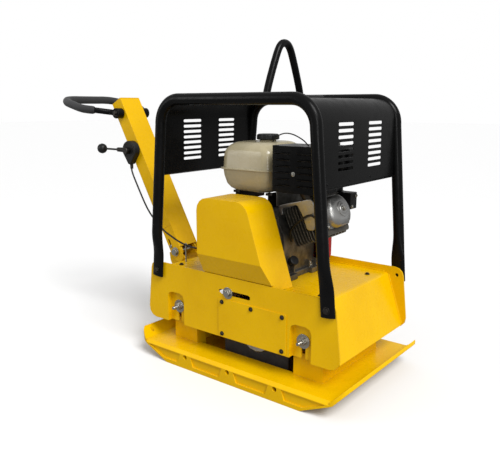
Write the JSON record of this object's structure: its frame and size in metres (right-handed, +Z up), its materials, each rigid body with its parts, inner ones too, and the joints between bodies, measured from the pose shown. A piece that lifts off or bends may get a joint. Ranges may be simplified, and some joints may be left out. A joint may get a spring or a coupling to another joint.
{
  "type": "plate compactor",
  "caption": "Reversible plate compactor: upturned base plate on rubber mounts, twin-shaft exciter, belt-driven engine in a roll cage, folding handle with control loop.",
  "frame": {"origin": "on the ground, the middle of the base plate's flat sole", "axes": "+X forward, away from the handle; +Z up; -Y is the right side, which carries the belt guard"},
  "size_m": [1.5077, 0.576, 1.1467],
  "materials": {
    "yellow_paint": "semi-gloss enamel",
    "black_paint": "satin powder coat",
    "zinc_steel": "bright zinc plate",
    "dark_steel": "heat darkened",
    "machined_steel": "machined",
    "exciter_iron": "as cast",
    "engine_aluminium": "die cast",
    "tank_paint": "champagne enamel",
    "red_paint": "gloss enamel",
    "black_plastic": "moulded",
    "rubber": "matte"
  },
  "bodies": {
    "base": {"base_plate": "yellow_paint", "exciter_housing": "exciter_iron", "exciter_cover_right": "exciter_iron", "exciter_cover_left": "exciter_iron", "rubber_mount_right_rear": "rubber", "rubber_mount_right_front": "rubber", "rubber_mount_left_rear": "rubber", "rubber_mount_left_front": "rubber", "bearing_front_left": "machined_steel", "bearing_front_right": "machined_steel", "bearing_rear_left": "machined_steel", "bearing_rear_right": "machined_steel"},
    "front_shaft": {"eccentric_shaft_front": "machined_steel", "sync_gear_front": "machined_steel", "exciter_pulley": "machined_steel"},
    "rear_shaft": {"eccentric_shaft_rear": "machined_steel", "sync_gear_rear": "machined_steel"},
    "chassis": {"side_plate_right": "yellow_paint", "side_plate_left": "yellow_paint", "deck_tray": "yellow_paint", "rear_plate": "yellow_paint", "access_cover": "yellow_paint", "belt_guard": "yellow_paint", "roll_hoop_right": "black_paint", "roll_hoop_left": "black_paint", "front_panel": "black_paint", "rear_panel": "black_paint", "lifting_bar": "black_paint", "idler_bolt": "zinc_steel", "handle_bracket": "yellow_paint", "handle_pivot_bolt": "zinc_steel", "handle_stop": "rubber", "mount_stud_right_rear": "zinc_steel", "mount_stud_right_front": "zinc_steel", "mount_stud_left_rear": "zinc_steel", "mount_stud_left_front": "zinc_steel", "crankcase": "engine_aluminium", "cylinder": "engine_aluminium", "valve_cover": "machined_steel", "muffler": "dark_steel", "muffler_guard": "black_paint", "fuel_tank": "tank_paint", "air_cleaner": "black_plastic", "carburettor": "engine_aluminium", "fan_shroud": "red_paint", "recoil_cover": "red_paint", "drive_belt": "rubber", "throttle_cable": "black_plastic"},
    "crank": {"crankshaft": "machined_steel", "clutch_pulley": "machined_steel"},
    "idler": {"idler_pulley": "machined_steel"},
    "cap": {"fuel_cap": "black_plastic"},
    "grip": {"starter_grip": "black_plastic"},
    "switch": {"engine_switch": "black_plastic"},
    "governor": {"governor_arm": "zinc_steel"},
    "handle": {"handle_arm": "yellow_paint", "throttle_housing": "black_plastic"},
    "latch": {"latch_pin": "zinc_steel"},
    "loop": {"control_loop": "black_plastic"},
    "lever": {"throttle_lever": "black_plastic"}
  },
  "joints": [
    {"name": "suspension", "type": "slide", "parent": "base", "child": "chassis", "axis": [0, 0, 1], "range_m": [-0.006, 0.006], "stiffness_N_per_m": 400000, "springref_m": 0.0045, "deforming": ["rubber_mount_right_rear", "rubber_mount_right_front", "rubber_mount_left_rear", "rubber_mount_left_front", "drive_belt"]},
    {"name": "front_shaft_spin", "type": "hinge", "parent": "base", "child": "front_shaft", "pos_m": [0.065, 0, 0.18], "axis": [0, 1, 0], "continuous": true},
    {"name": "rear_shaft_spin", "type": "hinge", "parent": "base", "child": "rear_shaft", "pos_m": [-0.065, 0, 0.18], "axis": [0, 1, 0], "continuous": true},
    {"name": "crank_spin", "type": "hinge", "parent": "chassis", "child": "crank", "pos_m": [-0.005, 0, 0.478], "axis": [0, 1, 0], "continuous": true},
    {"name": "idler_spin", "type": "hinge", "parent": "chassis", "child": "idler", "pos_m": [-0.032, 0, 0.311], "axis": [0, 1, 0], "continuous": true},
    {"name": "handle_tilt", "type": "hinge", "parent": "chassis", "child": "handle", "pos_m": [-0.466, 0, 0.354], "axis": [0, 1, 0], "range_deg": [0, 26], "deforming": ["throttle_cable"]},
    {"name": "latch_lift", "type": "slide", "parent": "handle", "child": "latch", "axis": [-0.4833, 0, 0.8755], "range_m": [0, 0.022]},
    {"name": "control_loop_swing", "type": "hinge", "parent": "handle", "child": "loop", "pos_m": [-0.7646, 0, 0.9031], "axis": [0, 1, 0], "range_deg": [-18, 18]},
    {"name": "throttle", "type": "hinge", "parent": "handle", "child": "lever", "pos_m": [-0.6989, 0, 0.7531], "axis": [0, 1, 0], "range_deg": [-25, 35]},
    {"name": "governor", "type": "hinge", "parent": "chassis", "child": "governor", "pos_m": [-0.135, 0, 0.548], "axis": [0, 1, 0], "range_deg": [-13, 18]},
    {"name": "cap_turn", "type": "hinge", "parent": "chassis", "child": "cap", "pos_m": [-0.045, 0, 0.82], "axis": [0, 0, 1], "range_deg": [0, 90]},
    {"name": "starter_pull", "type": "slide", "parent": "chassis", "child": "grip", "axis": [0, 1, 0], "range_m": [0, 0.25], "stiffness_N_per_m": 30, "springref_m": -0.2},
    {"name": "switch_turn", "type": "hinge", "parent": "chassis", "child": "switch", "pos_m": [-0.095, 0, 0.4], "axis": [0, 1, 0], "range_deg": [0, 60]}
  ],
  "couplings": [
    {"joint": "rear_shaft_spin", "follows": "front_shaft_spin", "ratio": -1},
    {"joint": "crank_spin", "follows": "front_shaft_spin", "ratio": 1.0909},
    {"joint": "idler_spin", "follows": "front_shaft_spin", "ratio": 2.3077},
    {"joint": "governor", "follows": "throttle", "ratio": 0.5}
  ]
}
